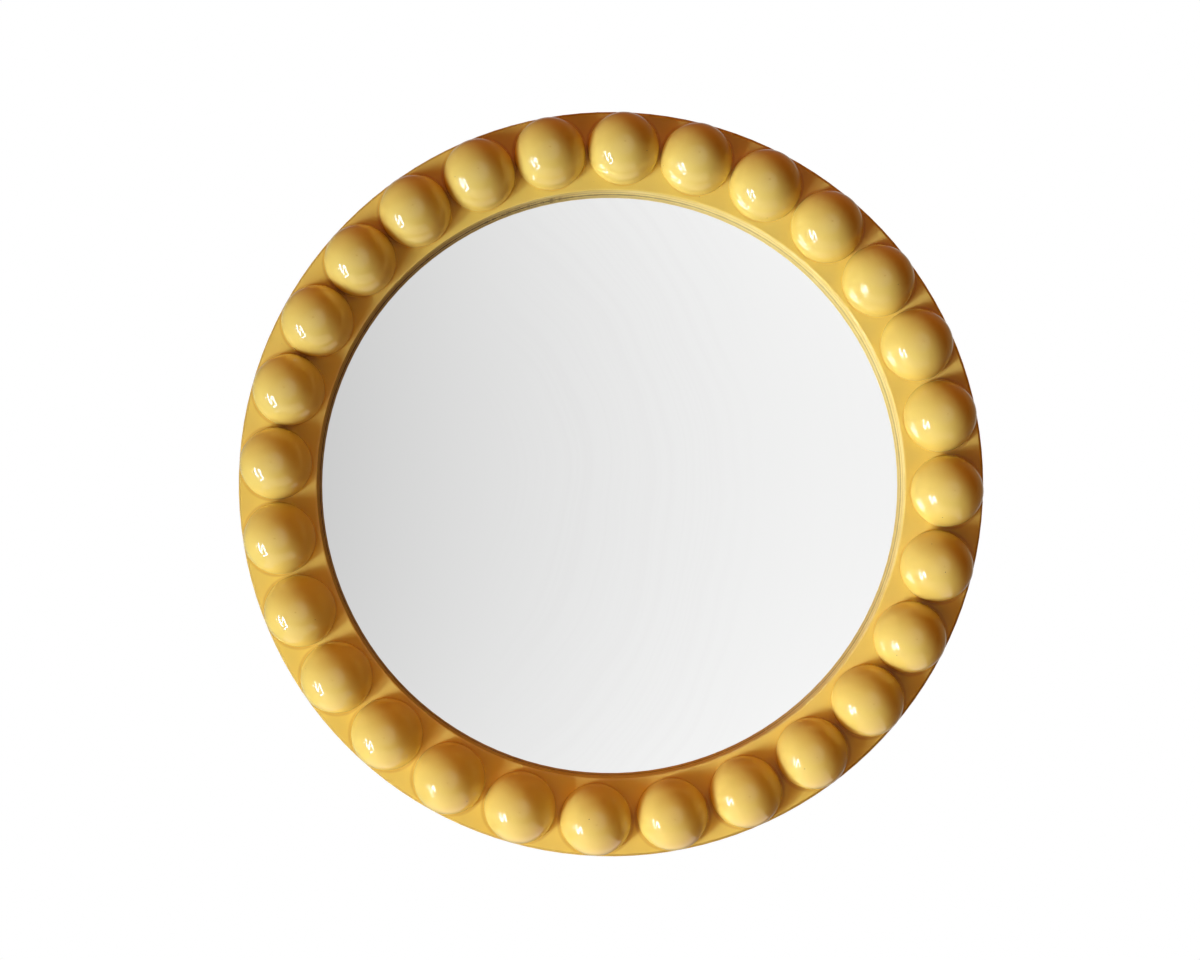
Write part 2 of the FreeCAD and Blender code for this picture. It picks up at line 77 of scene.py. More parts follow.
class Nodes:
    """Short calls that build one node tree."""

    def __init__(self, tree):
        self.tree = tree
        self.tree.nodes.clear()

    def add(self, kind, **settings):
        node = self.tree.nodes.new(kind)
        for name, setting in settings.items():
            setattr(node, name, setting)
        return node

    def link(self, source, target):
        self.tree.links.new(source, target)

    def feed(self, target, source):
        """Links a socket, or sets a plain value."""
        if isinstance(source, bpy.types.NodeSocket):
            self.link(source, target)
        else:
            target.default_value = source

    def math(self, operation, *sources):
        node = self.add("ShaderNodeMath", operation=operation)
        for socket, source in zip(node.inputs, sources):
            self.feed(socket, source)
        return node.outputs[0]

    def product(self, *sources):
        """All sources multiplied."""
        return reduce(lambda total, source: self.math("MULTIPLY", total, source), sources)

    def most(self, *sources):
        """The greatest of the sources."""
        return reduce(lambda total, source: self.math("MAXIMUM", total, source), sources)

    def hold(self, source, low, high):
        """Keeps a source between two values."""
        return self.math("MINIMUM", self.math("MAXIMUM", source, low), high)

    def flat_length(self, across, along):
        """The length of the vector with these two parts."""
        squares = self.math("ADD", self.product(across, across), self.product(along, along))
        return self.math("SQRT", squares)

    def ramp_between(self, source, start, end, low=0.0, high=1.0, smooth=True):
        """Maps start..end to low..high, held at both ends."""
        node = self.add("ShaderNodeMapRange", clamp=True)
        node.interpolation_type = "SMOOTHSTEP" if smooth else "LINEAR"
        self.feed(node.inputs["Value"], source)
        for name, number in (("From Min", start), ("From Max", end), ("To Min", low), ("To Max", high)):
            self.feed(node.inputs[name], number)
        return node.outputs["Result"]

    def close_to(self, source, inner, outer, high=1.0):
        """High where a source is within the inner distance of zero, and nothing past the outer one."""
        return self.ramp_between(self.math("ABSOLUTE", source), inner, outer, high, 0.0)

    def mix(self, factor, first, second):
        node = self.add("ShaderNodeMix", data_type="RGBA")
        self.feed(node.inputs["Factor"], factor)
        for socket, source in zip(node.inputs[6:8], (first, second)):
            self.feed(socket, (*source, 1.0) if isinstance(source, tuple) else source)
        return node.outputs[2]

    def place(self):
        """The object coordinates, which are the part's own."""
        return self.add("ShaderNodeTexCoord").outputs["Object"]

    def split(self, vector):
        node = self.add("ShaderNodeSeparateXYZ")
        self.link(vector, node.inputs[0])
        return node.outputs

    def stretch(self, vector, scales):
        node = self.add("ShaderNodeVectorMath", operation="MULTIPLY")
        self.link(vector, node.inputs[0])
        node.inputs[1].default_value = scales
        return node.outputs[0]

    def join(self, x, y, z):
        node = self.add("ShaderNodeCombineXYZ")
        for socket, source in zip(node.inputs, (x, y, z)):
            self.feed(socket, source)
        return node.outputs[0]

    def noise(self, vector, scale, detail=2.0, roughness=0.5, distortion=0.0):
        node = self.add("ShaderNodeTexNoise")
        self.link(vector, node.inputs["Vector"])
        node.inputs["Scale"].default_value = scale
        node.inputs["Detail"].default_value = detail
        node.inputs["Roughness"].default_value = roughness
        node.inputs["Distortion"].default_value = distortion
        return node.outputs["Fac"]

    def specks(self, vector, scale, size, share):
        """Small round specks in a given share of the cells, 1 in a speck and 0 elsewhere."""
        node = self.add("ShaderNodeTexVoronoi", feature="F1")
        self.link(vector, node.inputs["Vector"])
        node.inputs["Scale"].default_value = scale
        near = self.ramp_between(node.outputs["Distance"], size * 0.5, size, 1.0, 0.0)
        pick = self.add("ShaderNodeSeparateColor")
        self.link(node.outputs["Color"], pick.inputs[0])
        return self.product(near, self.math("LESS_THAN", pick.outputs[0], share))

    def bump(self, height, strength, distance, normal=None):
        node = self.add("ShaderNodeBump")
        node.inputs["Strength"].default_value = strength
        node.inputs["Distance"].default_value = distance
        self.link(height, node.inputs["Height"])
        if normal is not None:
            self.link(normal, node.inputs["Normal"])
        return node.outputs["Normal"]

    def ray_kinds(self):
        """Masks of camera rays, of reflected or refracted rays, and of the latter before any diffuse
        bounce."""
        path = self.add("ShaderNodeLightPath").outputs
        shiny = self.most(path["Is Glossy Ray"], path["Is Transmission Ray"])
        direct = self.product(shiny, self.math("LESS_THAN", path["Diffuse Depth"], 0.5))
        return path["Is Camera Ray"], shiny, direct


def new_material(name):
    """A material with an empty tree, the helper for its nodes, and its principled shader's inputs."""
    material = bpy.data.materials.new(name)
    material.use_nodes = True
    made = Nodes(material.node_tree)
    shader = made.add("ShaderNodeBsdfPrincipled")
    output = made.add("ShaderNodeOutputMaterial")
    made.link(shader.outputs[0], output.inputs["Surface"])
    return material, made, shader.inputs


def dress(things, material):
    """Gives CAD nodes or pieces one material."""
    for thing in things:
        thing.data.materials.clear()
        thing.data.materials.append(material)


# Lacquer of the half balls

LACQUER = (0.84, 0.635, 0.125)
LACQUER_DEEP = (0.815, 0.60, 0.11)
SPECK = (0.10, 0.045, 0.012)
# Painted shade where the half balls meet the face, and how high it reaches up them
FOOT_SHADE = (0.60, 0.29, 0.035)
FOOT_SHADE_HEIGHT = 0.003


def ball_lacquer():
    """High gloss lacquer on the half balls: a little uneven in tone, with faint orange peel, and painted
    shade at the foot.
    """
    material, made, inputs = new_material("ball_lacquer")
    place = made.place()
    tone = made.ramp_between(made.noise(place, 28, 3), 0.35, 0.7)
    each = made.add("ShaderNodeObjectInfo").outputs["Random"]
    tone = made.product(tone, made.ramp_between(each, 0, 1, 0.55, 1.0))
    colour = made.mix(tone, LACQUER, LACQUER_DEEP)
    # Painted shade at the foot of the half ball
    height = made.math("SUBTRACT", RING_FRONT, made.split(place)[1])
    colour = made.mix(made.ramp_between(height, 0.0, FOOT_SHADE_HEIGHT, 0.3, 0.0), colour, FOOT_SHADE)
    dust = made.specks(place, 210, 0.10, 0.022)
    made.feed(inputs["Base Color"], made.mix(dust, colour, SPECK))
    inputs["Roughness"].default_value = 0.65
    inputs["Specular IOR Level"].default_value = 0.4
    inputs["Coat Weight"].default_value = 1.0
    inputs["Coat Roughness"].default_value = 0.015
    inputs["Coat IOR"].default_value = 1.5
    peel = made.bump(made.noise(place, 480), 0.035, 0.0004)
    made.link(made.bump(made.noise(place, 60), 0.07, 0.0012, peel), inputs["Coat Normal"])
    made.link(made.bump(dust, 0.4, 0.0003), inputs["Normal"])
    return material


# Lacquer of the ring

FACE_LACQUER = (0.975, 0.735, 0.15)
FACE_DEEP = (0.95, 0.70, 0.13)
# Painted shade for the outer face and the rounded outer edge
RIM_SHADE = (0.56, 0.36, 0.06)
# Partly the wall's lacquer and partly a painted sheen
WALL_LACQUER_AND_SHEEN = (0.82, 0.67, 0.24)
WALL_DEEP = (0.76, 0.58, 0.15)
# Painted shade for the left of the lip's wall
WALL_SHADE = (0.32, 0.235, 0.06)
# Painted shade where the lip's wall meets the glass
CONTACT_SHADE = (0.07, 0.035, 0.009)
SCRATCH = (0.16, 0.08, 0.018)
TORN_SEAL = (0.045, 0.022, 0.007)
WOOD_PALE = (0.56, 0.40, 0.23)
WOOD_DARK = (0.40, 0.26, 0.13)

# How far the masks of the ring's face, its back and the lip's wall reach past them
FACE_SKIN = 0.001
BACK_SKIN = 0.0002
WALL_SKIN = 0.0008

# How far the lip's rounded edge, which is glossier than the face, reaches from the opening
LIP_EDGE = 0.0022

# Radii between which painted shade deepens the face outwards and darkens the outer edge, and the back's
# spray thickens
OUTER_FACE = (RING_RADIUS - 0.025, RING_RADIUS - 0.007)
OUTER_EDGE = (RING_RADIUS - 0.003, RING_RADIUS - 0.001)
SPRAY = (RING_RADIUS - 0.008, RING_RADIUS + 0.0055)
SPRAY_WANDER = 0.016

# Widths and heights: of the painted shade round the half balls and where the lip's wall meets the glass,
# and of the marks on the lip's wall above the glass
FOOT_SHADE_WIDTH = 0.002
CONTACT_SHADE_HEIGHTS = (0.0018, 0.0036)
SCRATCH_HEIGHTS = (0.0085, 0.0105)
SCRATCH_WIDTHS = (0.0004, 0.0012)
TORN_HEIGHT = 0.0085

# The turn of the torn seal's middle and how far it reaches to each side, in radians
TORN_MIDDLE = -0.32
TORN_SPREAD = (0.10, 0.22)

# From the left to the middle of the opening, where the painted shade on the lip's wall fades
WALL_SHADE_FADE = (-0.20, 0.10)
LEFT_SHADE_FADE = (-0.20, 0.12)

# The half balls' pitch, the turn of the first one, and the drift of the hand spacing
BALL_PITCH = 2 * math.pi / len(BALLS)
FIRST_TURN = math.radians(2.37)
DRIFT = math.radians(1.18)
DRIFT_PHASE = math.radians(10.2)


def ring_places(made):
    """Where a point of the ring lies, and the masks of the ring's parts."""
    place = made.place()
    x, y, z = made.split(place)
    radius = made.flat_length(x, z)
    turn = made.math("ARCTAN2", x, z)
    before_back = made.math("LESS_THAN", y, RING_BACK - FACE_SKIN)
    return SimpleNamespace(
        place=place,
        x=x,
        radius=radius,
        turn=turn,
        around=made.join(made.product(turn, SIGHT_RADIUS), radius, y),
        above_glass=made.math("SUBTRACT", GLASS_FRONT, y),
        on_face=made.math("LESS_THAN", y, RING_FRONT + FACE_SKIN),
        on_wall=made.math("LESS_THAN", radius, SIGHT_RADIUS + WALL_SKIN),
        on_back=made.math("GREATER_THAN", y, RING_BACK - BACK_SKIN),
        on_edge=made.product(made.ramp_between(radius, *OUTER_EDGE), before_back),
    )


def ball_distance(made, at):
    """How far a point of the ring's face is from the foot of the nearest half ball."""
    even = made.math("SINE", made.math("ADD", at.turn, DRIFT_PHASE))
    even = made.math("MULTIPLY_ADD", even, DRIFT, at.turn)
    count = made.math("DIVIDE", made.math("SUBTRACT", even, FIRST_TURN), BALL_PITCH)
    off = made.product(made.math("SUBTRACT", count, made.math("ROUND", count)), BALL_PITCH)
    across = made.product(made.math("SINE", off), BALL_CIRCLE)
    along = made.math("SUBTRACT", made.product(at.radius, made.math("COSINE", off)), BALL_CIRCLE)
    return made.math("SUBTRACT", made.flat_length(across, along), BALL_RADIUS)


def lacquer_marks(made, place):
    """Small pits that come in patches."""
    pits = made.most(made.specks(place, 150, 0.085, 0.05), made.specks(place, 420, 0.10, 0.035))
    return made.product(pits, made.ramp_between(made.noise(place, 9), 0.48, 0.62))


def face_colour(made, at, marks):
    """The face with its pits, painted shade round the half balls, and painted shade that deepens towards
    the outer edge.
    """
    tone = made.ramp_between(made.noise(at.place, 14, 4), 0.35, 0.7)
    colour = made.mix(tone, FACE_LACQUER, FACE_DEEP)
    colour = made.mix(made.product(marks, 0.8), colour, SPECK)
    # Painted shade on the face round the feet of the half balls
    foot_shade = made.ramp_between(ball_distance(made, at), 0.0, FOOT_SHADE_WIDTH, 0.4, 0.0)
    colour = made.mix(made.product(foot_shade, at.on_face), colour, FOOT_SHADE)
    # Painted shade that deepens the face outwards and darkens its rounded outer edge
    outward_shade = made.product(made.ramp_between(at.radius, *OUTER_FACE, 0.0, 0.12), at.on_face)
    return made.mix(made.most(made.product(at.on_edge, 0.85), outward_shade), colour, RIM_SHADE)


def wall_colour(made, at):
    """The wall of the lip: paler, partly as a painted sheen, with brush marks round it, and painted shade
    on the left.
    """
    strokes = made.noise(made.stretch(at.around, (3.0, 1.0, 60.0)), 9, 3)
    # The paler strokes are partly the wall's lacquer and partly a painted sheen
    colour = made.mix(made.ramp_between(strokes, 0.35, 0.65), WALL_LACQUER_AND_SHEEN, WALL_DEEP)
    # Painted shade on the left of the lip's wall
    return made.mix(made.ramp_between(at.x, *WALL_SHADE_FADE, 0.65, 0.0), colour, WALL_SHADE)


def wall_marks(made, at):
    """Masks of the painted shade where the wall meets the glass, of a scratched line above it, both heavier
    on the left as painted shade, and of the torn seal at the top.
    """
    # Painted shade: the marks at the glass are heavier on the left of the opening
    left_shade = made.product(made.ramp_between(at.x, *LEFT_SHADE_FADE, 1.0, 0.42), at.on_wall)
    # Painted shade where the lip's wall meets the glass, with a ragged top
    top = made.ramp_between(made.noise(at.around, 130, 4, 0.65), 0.3, 0.75, *CONTACT_SHADE_HEIGHTS)
    contact_shade = made.product(made.math("LESS_THAN", at.above_glass, top), left_shade)
    middle = made.ramp_between(made.noise(at.around, 16), 0.3, 0.7, *SCRATCH_HEIGHTS)
    scratch = made.close_to(made.math("SUBTRACT", at.above_glass, middle), *SCRATCH_WIDTHS, 0.85)
    patches = made.noise(made.stretch(at.around, (1.0, 1.0, 2.4)), 210, 3, 0.7)
    torn = made.product(
        made.ramp_between(patches, 0.54, 0.58),
        made.math("LESS_THAN", at.above_glass, TORN_HEIGHT),
        made.close_to(made.math("SUBTRACT", at.turn, TORN_MIDDLE), *TORN_SPREAD),
        at.on_wall,
    )
    return contact_shade, made.product(scratch, left_shade), torn


def back_colour(made, at):
    """The unseen back: wood under a thin coat that fades away from the outer edge."""
    grain = made.noise(made.stretch(at.place, (5.0, 1.0, 90.0)), 9, 5, 0.62, 0.6)
    wood = made.mix(made.ramp_between(grain, 0.3, 0.72), WOOD_PALE, WOOD_DARK)
    spray = made.math("MULTIPLY_ADD", made.noise(at.place, 70, 3), SPRAY_WANDER, at.radius)
    return made.mix(made.ramp_between(spray, *SPRAY), wood, LACQUER)


def ring_lacquer():
    """Satin lacquer on the ring's face. The lip's wall, the outer edge and the back are dull."""
    material, made, inputs = new_material("ring_lacquer")
    at = ring_places(made)
    marks = lacquer_marks(made, at.place)
    contact_shade, scratch, torn = wall_marks(made, at)
    colour = made.mix(at.on_wall, face_colour(made, at, marks), wall_colour(made, at))
    # Painted shade where the lip's wall meets the glass
    colour = made.mix(made.product(contact_shade, 0.92), colour, CONTACT_SHADE)
    colour = made.mix(scratch, colour, SCRATCH)
    colour = made.mix(made.product(torn, 0.92), colour, TORN_SEAL)
    made.feed(inputs["Base Color"], made.mix(at.on_back, colour, back_colour(made, at)))

    satin = made.ramp_between(made.noise(at.place, 45, 3), 0.3, 0.7, 0.36, 0.46)
    dull = made.most(at.on_back, at.on_wall, at.on_edge)
    made.feed(inputs["Roughness"], made.most(satin, made.product(dull, 0.8), made.product(contact_shade, 0.9)))
    lip_edge = made.product(made.math("LESS_THAN", at.radius, SIGHT_RADIUS + LIP_EDGE), at.on_face)
    coat = made.most(made.product(lip_edge, 0.9), 0.18)
    made.feed(inputs["Coat Weight"], made.product(made.math("SUBTRACT", 1.0, dull), coat))
    inputs["Specular IOR Level"].default_value = 0.2
    inputs["Coat Roughness"].default_value = 0.16
    inputs["Coat IOR"].default_value = 1.5
    peel = made.bump(made.noise(at.place, 380, 3), 0.10, 0.0005)
    waves = made.bump(made.noise(at.place, 38), 0.10, 0.002, peel)
    made.link(made.bump(marks, 0.5, -0.0004, waves), inputs["Normal"])
    return material


# Mirror glass

SILVER = (0.925, 0.925, 0.922)
SILVER_COOL = (0.915, 0.918, 0.915)
SILVER_WIPED = (0.900, 0.897, 0.896)
GLASS_EDGE = (0.20, 0.36, 0.29)
GLASS_EDGE_PALE = (0.30, 0.47, 0.39)
BACK_PAINT = (0.15, 0.16, 0.17)
BACK_PAINT_PALE = (0.20, 0.21, 0.22)
GLASS_SKIN = 0.00005

# The wiping strokes swing round this place, and show between distances to its right
WIPE_MIDDLE = (-0.24, -0.01)
WIPE_START = (0.10, 0.22)
WIPE_END = (0.30, 0.38)
WIPE_WANDER = 0.05


def wiping_strokes(made, place):
    """Faint arcs that a cloth has left on the glass."""
    x, _, z = made.split(place)
    right = made.math("SUBTRACT", x, WIPE_MIDDLE[0])
    swing = made.flat_length(right, made.math("SUBTRACT", z, WIPE_MIDDLE[1]))
    swing = made.math("MULTIPLY_ADD", made.noise(place, 5), WIPE_WANDER, swing)
    arcs = made.ramp_between(made.noise(made.join(swing, 0.0, 0.0), 75, 3, 0.7), 0.42, 0.62)
    start = made.ramp_between(right, *WIPE_START)
    return made.product(arcs, start, made.ramp_between(right, *WIPE_END, 1.0, 0.15))


def mirror_material():
    """Silvered front, green seamed edge, and grey paint over the silver on the back."""
    material, made, inputs = new_material("mirror_glass")
    place = made.place()
    y = made.split(place)[1]
    front = made.math("LESS_THAN", y, GLASS_FRONT + GLASS_SKIN)
    back = made.math("GREATER_THAN", y, GLASS_BACK - GLASS_SKIN)
    silver = made.mix(made.noise(place, 6), SILVER, SILVER_COOL)
    silver = made.mix(made.product(wiping_strokes(made, place), 0.55), silver, SILVER_WIPED)
    edge = made.mix(made.noise(place, 300), GLASS_EDGE, GLASS_EDGE_PALE)
    paint = made.mix(made.noise(place, 40, 4), BACK_PAINT, BACK_PAINT_PALE)
    made.feed(inputs["Base Color"], made.mix(front, made.mix(back, edge, paint), silver))
    made.feed(inputs["Metallic"], front)
    haze = made.ramp_between(made.noise(place, 30, 3), 0.3, 0.8, 0.0, 0.012)
    rough = made.product(made.math("SUBTRACT", 1.0, front), 0.45)
    made.feed(inputs["Roughness"], made.math("ADD", rough, haze))
    return material


# Board, steel, wire and rubber

BOARD = (0.285, 0.165, 0.085)
BOARD_PALE = (0.42, 0.265, 0.15)
BOARD_FIBRE = (0.20, 0.108, 0.052)
BOARD_MOTTLE = (0.34, 0.205, 0.115)
BOARD_FLECK = (0.56, 0.40, 0.25)
ZINC = (0.60, 0.61, 0.63)
ZINC_PALE = (0.70, 0.70, 0.69)
ZINC_STAIN = (0.52, 0.49, 0.42)
NICKEL = (0.74, 0.73, 0.70)
NICKEL_DULL = (0.64, 0.62, 0.58)
RUBBER = (0.032, 0.031, 0.030)
RUBBER_BLOOM = (0.062, 0.060, 0.058)


def hardboard_material():
    """Brown pressed board, with short fibres and pale flecks."""
    material, made, inputs = new_material("hardboard")
    place = made.place()
    fibre = made.noise(made.stretch(place, (1.0, 1.0, 3.2)), 160, 6, 0.7, 1.2)
    cross = made.noise(made.stretch(place, (2.6, 1.0, 1.0)), 210, 5, 0.7, 1.5)
    mottle = made.noise(place, 11, 3)
    flecks = made.specks(made.stretch(place, (1.0, 1.0, 2.2)), 230, 0.16, 0.10)
    colour = made.mix(made.ramp_between(fibre, 0.3, 0.72), BOARD, BOARD_PALE)
    colour = made.mix(made.ramp_between(cross, 0.52, 0.75, 0.0, 0.55), colour, BOARD_FIBRE)
    colour = made.mix(made.ramp_between(mottle, 0.4, 0.75, 0.0, 0.35), colour, BOARD_MOTTLE)
    made.feed(inputs["Base Color"], made.mix(made.product(flecks, 0.6), colour, BOARD_FLECK))
    made.feed(inputs["Roughness"], made.ramp_between(fibre, 0.3, 0.7, 0.55, 0.74))
    inputs["Specular IOR Level"].default_value = 0.35
    made.link(made.bump(made.math("ADD", fibre, cross), 0.35, 0.0003), inputs["Normal"])
    return material


def zinc_material():
    """Zinc plated steel: cool grey with faint spangle and fine scratches."""
    material, made, inputs = new_material("zinc_steel")
    place = made.place()
    scratch = made.noise(made.stretch(place, (1.0, 1.0, 26.0)), 260, 3, 0.6, 0.4)
    colour = made.mix(made.ramp_between(made.noise(place, 240, 4), 0.3, 0.7), ZINC, ZINC_PALE)
    stain = made.ramp_between(made.noise(place, 60, 3), 0.58, 0.75, 0.0, 0.5)
    made.feed(inputs["Base Color"], made.mix(stain, colour, ZINC_STAIN))
    inputs["Metallic"].default_value = 1.0
    made.feed(inputs["Roughness"], made.ramp_between(scratch, 0.3, 0.7, 0.26, 0.42))
    made.link(made.bump(scratch, 0.12, 0.0001), inputs["Normal"])
    return material


def wire_material():
    """Bright nickel plated wire with a few dull patches."""
    material, made, inputs = new_material("bright_wire")
    place = made.place()
    dull = made.noise(place, 180, 3)
    made.feed(inputs["Base Color"], made.mix(made.ramp_between(dull, 0.45, 0.7), NICKEL, NICKEL_DULL))
    inputs["Metallic"].default_value = 1.0
    made.feed(inputs["Roughness"], made.ramp_between(dull, 0.3, 0.75, 0.12, 0.30))
    made.link(made.bump(made.noise(place, 900), 0.06, 0.00005), inputs["Normal"])
    return material


def rubber_material():
    """Dark grey rubber with a fine bloom."""
    material, made, inputs = new_material("rubber")
    place = made.place()
    bloom = made.noise(place, 170, 5, 0.6)
    made.feed(inputs["Base Color"], made.mix(made.ramp_between(bloom, 0.35, 0.75), RUBBER, RUBBER_BLOOM))
    made.feed(inputs["Roughness"], made.ramp_between(bloom, 0.3, 0.7, 0.58, 0.8))
    made.link(made.bump(made.noise(place, 900, 3), 0.25, 0.0001), inputs["Normal"])
    return material


zinc = zinc_material()
for names, material in (
    (BALLS, ball_lacquer()),
    (["frame_ring"], ring_lacquer()),
    (["mirror_glass"], mirror_material()),
    (["backing_board"], hardboard_material()),
    (TURN_BUTTONS + STRAPS, zinc),
    (SWING_RINGS, wire_material()),
    (BUMPERS, rubber_material()),
):
    dress([nodes[name] for name in names], material)


# Screws with cross recesses and threads, in place of the plain ones.
# Head, shank and recess are radii, rise is the height of a pan head, and neck is the depth of a countersunk
# one. Apart is how near the points of one screw lie to each other, seen from the back.

BEAD_SCREW = {"head": 0.004, "shank": 0.002, "length": 0.040, "rise": 0.0, "neck": 0.002,
              "recess": 0.0021}
BUTTON_SCREW = {"head": 0.003, "shank": 0.0015, "length": 0.0116, "rise": 0.002, "neck": 0.0,
                "recess": 0.0016, "apart": 0.0075}
HANGER_SCREW = {"head": 0.0035, "shank": 0.00175, "length": 0.0151, "rise": 0.0022, "neck": 0.0,
                "recess": 0.0019, "apart": 0.0085}
ROUND_STEPS = 40
HEAD_STEPS = 14
CROWN_STEPS = 6
STEPS_PER_PITCH = 6
PLAIN_SHANK = 0.0012
SHARP_ANGLE = math.radians(38)

# How far the first screw is turned, and each further one from the one before, in radians
FIRST_SCREW_TURN = 0.7
NEXT_SCREW_TURN = 2.399

# Shares of the cross recess's reach
ARM_SHARE = 0.24
SIDE_SHARE = 0.10
END_SHARE = 0.30
DEPTH_SHARE = 0.85

# Shares of the shank's radius: the thread's pitch, the point's length, and the radii of the thread's start,
# its core and its crest over the core. The tip is a share of the thread's full radius, and the crest's half
# width is a share of the pitch.
PITCH_SHARE = 0.9
POINT_SHARE = 2
START_SHARE = 0.86
CORE_SHARE = 0.68
CREST_SHARE = 0.30
TIP_SHARE = 0.02
CREST_WIDTH_SHARE = 0.24


def cross_depth(x, z, reach):
    """How deep the tapered cross recess is at a point of the head."""
    along, aside = max(abs(x), abs(z)), min(abs(x), abs(z))
    side = min(max((reach * ARM_SHARE - aside) / (reach * SIDE_SHARE) + 0.5, 0.0), 1.0)
    end = min(max((reach - along) / (reach * END_SHARE), 0.0), 1.0)
    return reach * DEPTH_SHARE * side * end


def head_rows(size):
    """The rings of a head's points: radius, height, and whether the recess lowers them."""
    head, shank, rise = size["head"], size["shank"], size["rise"]
    crown = rise / 2
    rows = [((head - crown) * step / HEAD_STEPS, rise, True) for step in range(HEAD_STEPS + 1)]
    if not rise:
        return rows + [(shank, -size["neck"], False)]
    for step in range(1, CROWN_STEPS + 1):
        angle = math.pi / 2 * step / CROWN_STEPS
        rows.append((head - crown + crown * math.sin(angle), rise - crown + crown * math.cos(angle), False))
    return rows + [(head, 0.0, False), (shank, 0.0, False)]


def screw_mesh(size, turn):
    """One screw as points and faces: head towards +Y at the origin, thread and point towards -Y."""
    shank = size["shank"]
    cosine, sine = math.cos(turn), math.sin(turn)
    points, faces = [], []

    def add_ring(radius_at, depth, recessed=False):
        """Adds a ring of points and joins it to the ring before."""
        first = len(points)
        for step in range(ROUND_STEPS):
            angle = 2 * math.pi * step / ROUND_STEPS
            radius = radius_at(step)
            x, z = radius * math.sin(angle), radius * math.cos(angle)
            cut = 0
            if recessed:
                cut = cross_depth(x * cosine - z * sine, x * sine + z * cosine, size["recess"])
            points.append((x, depth - cut, z))
        before = first - ROUND_STEPS
        if before < 0:
            return
        for step in range(ROUND_STEPS):
            after = (step + 1) % ROUND_STEPS
            faces.append((before + step, before + after, first + after, first + step))

    for radius, depth, recessed in head_rows(size):
        add_ring(lambda step: radius, depth, recessed)

    # The thread winds round a thinner core and stops at the point
    pitch = shank * PITCH_SHARE
    start = -size["neck"] - PLAIN_SHANK
    add_ring(lambda step: shank * START_SHARE, start)
    for turned in range(1, int((size["length"] + start) / pitch * STEPS_PER_PITCH) + 1):
        depth = start - turned * pitch / STEPS_PER_PITCH
        taper = min(1.0, max(TIP_SHARE, (size["length"] + depth) / (shank * POINT_SHARE)))

        def thread_radius(step):
            phase = (turned / STEPS_PER_PITCH + step / ROUND_STEPS) % 1.0
            crest = max(0.0, 1.0 - abs(phase - 0.5) / CREST_WIDTH_SHARE)
            return shank * taper * (CORE_SHARE + CREST_SHARE * crest)

        add_ring(thread_radius, depth)
    last = len(points) - ROUND_STEPS
    faces.append(tuple(range(last, len(points))))
    return points, faces


def screw_set(name, node, size, seats):
    """One piece that holds a detailed screw at each seat, in place of a CAD node."""
    points, faces = [], []
    for number, seat in enumerate(seats):
        made_points, made_faces = screw_mesh(size, FIRST_SCREW_TURN + NEXT_SCREW_TURN * number)
        offset = len(points)
        points += [tuple(Vector(point) + seat) for point in made_points]
        faces += [tuple(corner + offset for corner in face) for face in made_faces]
    mesh = bpy.data.meshes.new(name)
    mesh.from_pydata(points, [], faces)
    mesh.validate()
    mesh.shade_smooth()
    mesh.set_sharp_from_angle(angle=SHARP_ANGLE)
    piece = bpy.data.objects.new(name, mesh)
    scene.collection.objects.link(piece)
    dress([piece], zinc)
    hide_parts(node)
    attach(piece, "root")
    return piece


def middle(name):
    """The middle of a CAD node's box."""
    low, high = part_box(name)
    return (low + high) / 2


def bead_seats():
    """The seats of the half balls' screws, each behind its half ball's middle."""
    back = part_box("bead_screws")[1].y
    return [Vector((middle(ball).x, back, middle(ball).z)) for ball in BALLS]


def pan_seats(node, size):
    """The seats of the separate pan head screws in a CAD node, from clusters of its points."""
    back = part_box(node)[1].y - size["rise"]
    clusters = []
    for vertex in nodes[node].data.vertices:
        point = vertex.co
        for cluster in clusters:
            if max(abs(cluster[0].x - point.x), abs(cluster[0].z - point.z)) < size["apart"]:
                cluster.append(point)
                break
        else:
            clusters.append([point])
    seats = []
    for cluster in clusters:
        across = [point.x for point in cluster]
        along = [point.z for point in cluster]
        seats.append(Vector(((min(across) + max(across)) / 2, back, (min(along) + max(along)) / 2)))
    return seats


screw_set("bead_screw_set", "bead_screws", BEAD_SCREW, bead_seats())
screw_set("turn_button_screw_set", "turn_button_screws", BUTTON_SCREW,
          pan_seats("turn_button_screws", BUTTON_SCREW))
screw_set("hanger_screw_set", "hanger_screws", HANGER_SCREW, pan_seats("hanger_screws", HANGER_SCREW))


# Camera, with the lens and the shifts in Blender's units

CAMERA_PLACE = (-0.054, -1.5305, -0.058)
CAMERA_TURN = (math.radians(90), 0, 0)
LENS = 54.12
SENSOR_WIDTH = 36
SHIFT_ACROSS = 0.0449
SHIFT_UP = 0.0615
NEAREST = 0.05
FARTHEST = 60


def build_camera():
    """Looks straight along Y, from a little left of and below the middle."""
    data = bpy.data.cameras.new("camera")
    data.lens = LENS
    data.sensor_width = SENSOR_WIDTH
    data.shift_x = SHIFT_ACROSS
    data.shift_y = SHIFT_UP
    data.clip_start = NEAREST
    data.clip_end = FARTHEST
    camera = bpy.data.objects.new("camera", data)
    camera.location = CAMERA_PLACE
    camera.rotation_euler = CAMERA_TURN
    scene.collection.objects.link(camera)
    scene.camera = camera


build_camera()


# Light: a window low on the left, warm fills for its shade, and two lamps for the back and the side

DAYLIGHT = (0.93, 1.10, 1.40)
WARM = (1.0, 0.46, 0.05)
PALE_WARM = (1.0, 0.66, 0.25)

FACING = Vector((0, -1, 0))
MIDDLE = Vector((0, 0, 0))
SIDEWAYS = Vector((1, 0, 0))
KEY_DIRECTION = Vector((-0.75, -0.455, -0.48)).normalized()
KEY_DISTANCE = 12.0
KEY_LEVEL = 33.0
SPILL_DISTANCE = 6.0

